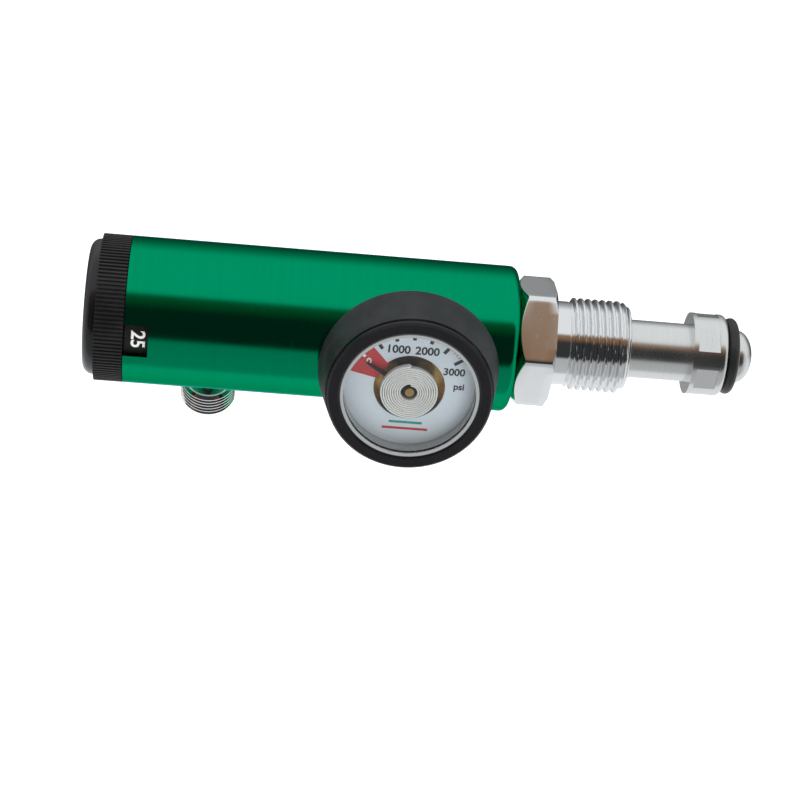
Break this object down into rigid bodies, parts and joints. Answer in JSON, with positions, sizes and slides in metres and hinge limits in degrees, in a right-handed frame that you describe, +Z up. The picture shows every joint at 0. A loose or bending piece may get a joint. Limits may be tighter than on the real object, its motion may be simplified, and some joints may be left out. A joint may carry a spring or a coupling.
{
  "type": "oxygen regulator",
  "caption": "Click-style oxygen regulator: long round body, flow knob with window, contents gauge, threaded side outlet and sliding inlet nut on a bull-nose stem.",
  "frame": {"origin": "On the body's axis, at the middle of the inlet nut's thread.", "axes": "+X along the body's axis towards the cylinder valve, -Y the way the gauge faces, +Z up, with the side outlet pointing down and away from the gauge."},
  "size_m": [0.1655, 0.0583, 0.0578],
  "materials": {
    "anodised_green": "satin green anodised, turned",
    "knob_black": "matte black, ribbed",
    "cap_black": "gloss black",
    "zinc_steel": "zinc plated",
    "ring_black": "satin black with white numbers",
    "stainless": "turned",
    "ball_steel": "polished",
    "spring_steel": "drawn wire",
    "brass": "machined",
    "seal_rubber": "smooth",
    "plain_aluminium": "machined",
    "seat_plastic": "smooth off-white",
    "satin_chrome": "satin chrome plated brass",
    "sintered_bronze": "sintered",
    "nose_rubber": "satin",
    "bright_chrome": "bright chrome plated brass",
    "boot_rubber": "satin moulded",
    "nickel_steel": "nickel plated",
    "bezel_black": "gloss black",
    "clear_lens": "clear",
    "dial_silver": "silver printed dial",
    "coil_steel": "bright wound strip",
    "pointer_black": "matte black"
  },
  "bodies": {
    "regulator": {"body": "anodised_green", "flow_head": "brass", "flow_head_o_rings": "seal_rubber", "orifice_seal": "seal_rubber", "end_cover": "plain_aluminium", "shaft_o_ring": "seal_rubber", "piston_stem_o_ring": "seal_rubber", "inlet_stem": "satin_chrome", "inlet_seal": "seat_plastic", "inlet_nose": "satin_chrome", "nose_gasket": "seat_plastic", "inlet_filter": "sintered_bronze", "nose_o_ring": "nose_rubber", "outlet_fitting": "bright_chrome", "outlet_seal": "seat_plastic", "outlet_spring_retainer": "stainless", "gauge_stem": "brass", "gauge_boot": "boot_rubber", "gauge_case": "nickel_steel", "gauge_bezel": "bezel_black", "gauge_lens_ring": "bright_chrome", "gauge_lens": "clear_lens", "gauge_dial": "dial_silver", "gauge_coil": "coil_steel", "main_spring": "spring_steel", "outlet_poppet_spring": "spring_steel"},
    "selector": {"knob": "knob_black", "knob_cap": "cap_black", "knob_screw": "zinc_steel", "number_ring": "ring_black", "selector_shaft": "stainless", "orifice_plate": "stainless", "detent_springs": "spring_steel"},
    "detents": {"detent_balls": "ball_steel"},
    "slip_ring": {"nut_slip_ring": "seat_plastic"},
    "nut": {"inlet_nut": "bright_chrome"},
    "pressure_piston": {"piston": "brass", "piston_seat": "seat_plastic", "piston_head_o_ring": "seal_rubber"},
    "pointer": {"gauge_pointer": "pointer_black"},
    "poppet": {"outlet_poppet": "stainless"}
  },
  "joints": [
    {"name": "flow_selector_turn", "type": "hinge", "parent": "regulator", "child": "selector", "pos_m": [-0.11, 0, 0], "axis": [1, 0, 0], "range_deg": [0, 330]},
    {"name": "detent_ball_click", "type": "slide", "parent": "selector", "child": "detents", "axis": [1, 0, 0], "range_m": [0, 0.0004], "stiffness_N_per_m": 1500, "springref_m": 0.001, "deforming": ["detent_springs"]},
    {"name": "inlet_nut_slide", "type": "slide", "parent": "regulator", "child": "slip_ring", "axis": [1, 0, 0], "range_m": [0, 0.0155]},
    {"name": "inlet_nut_turn", "type": "hinge", "parent": "slip_ring", "child": "nut", "pos_m": [0, 0, 0], "axis": [1, 0, 0], "continuous": true},
    {"name": "piston_slide", "type": "slide", "parent": "regulator", "child": "pressure_piston", "axis": [1, 0, 0], "range_m": [0, 0.0012], "stiffness_N_per_m": 9000, "springref_m": -0.002, "deforming": ["main_spring"]},
    {"name": "gauge_pointer_turn", "type": "hinge", "parent": "regulator", "child": "pointer", "pos_m": [-0.04706, -0.0296, 0], "axis": [0, 1, 0], "range_deg": [0, 113], "stiffness_Nm_per_rad": 0.0005, "springref_deg": -5.73},
    {"name": "outlet_poppet_push", "type": "slide", "parent": "regulator", "child": "poppet", "axis": [0, -0.5, 0.866], "range_m": [0, 0.0025], "stiffness_N_per_m": 300, "springref_m": -0.001, "deforming": ["outlet_poppet_spring"]}
  ]
}
